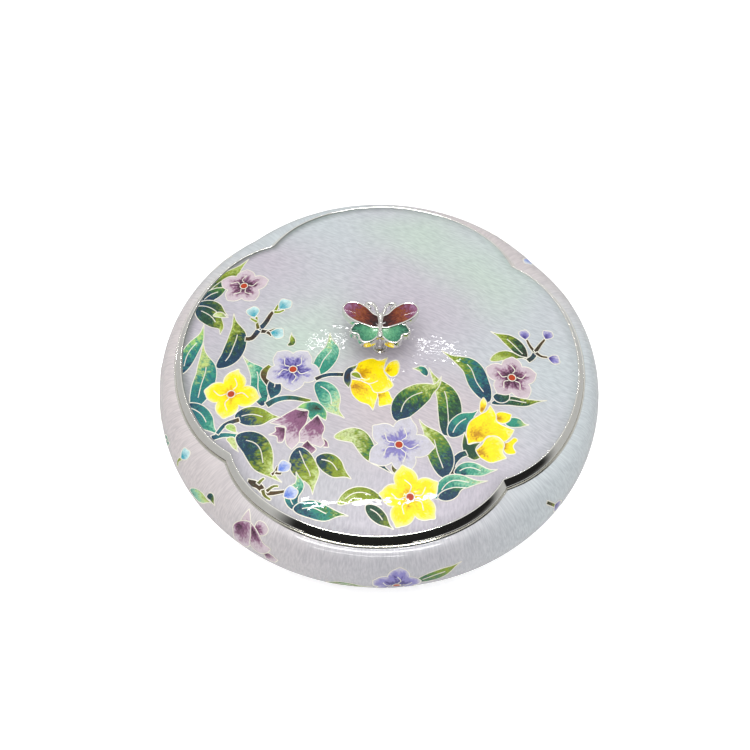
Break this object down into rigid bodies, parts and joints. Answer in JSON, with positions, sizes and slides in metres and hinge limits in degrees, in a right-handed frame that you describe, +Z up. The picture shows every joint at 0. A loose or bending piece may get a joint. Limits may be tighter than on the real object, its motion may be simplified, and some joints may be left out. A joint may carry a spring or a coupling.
{
  "type": "lidded enamel bowl",
  "caption": "Round shallow lidded bowl in floral cloisonne enamel on silver, with a lobed mouth, a silver-rimmed domed lid that lifts off and a butterfly knob, for fruit or sweets.",
  "frame": {"origin": "centre of the foot ring's underside, on the table", "axes": "+Z up through the middle of the lid, +X and +Y through the middles of two lobes of the lid, -Y towards the viewer of the picture"},
  "size_m": [0.2, 0.2, 0.072],
  "materials": {
    "enamel": "glossy pearly cloisonne enamel with silver wires",
    "silver": "polished silver",
    "enamelled_silver": "cast silver with glossy dark red, orange, violet and green enamel in the wings"
  },
  "bodies": {
    "root": {"bowl": "enamel", "mouth_ring": "silver", "lid": "enamel", "lid_rim": "silver", "butterfly_knob": "enamelled_silver"}
  },
  "joints": []
}
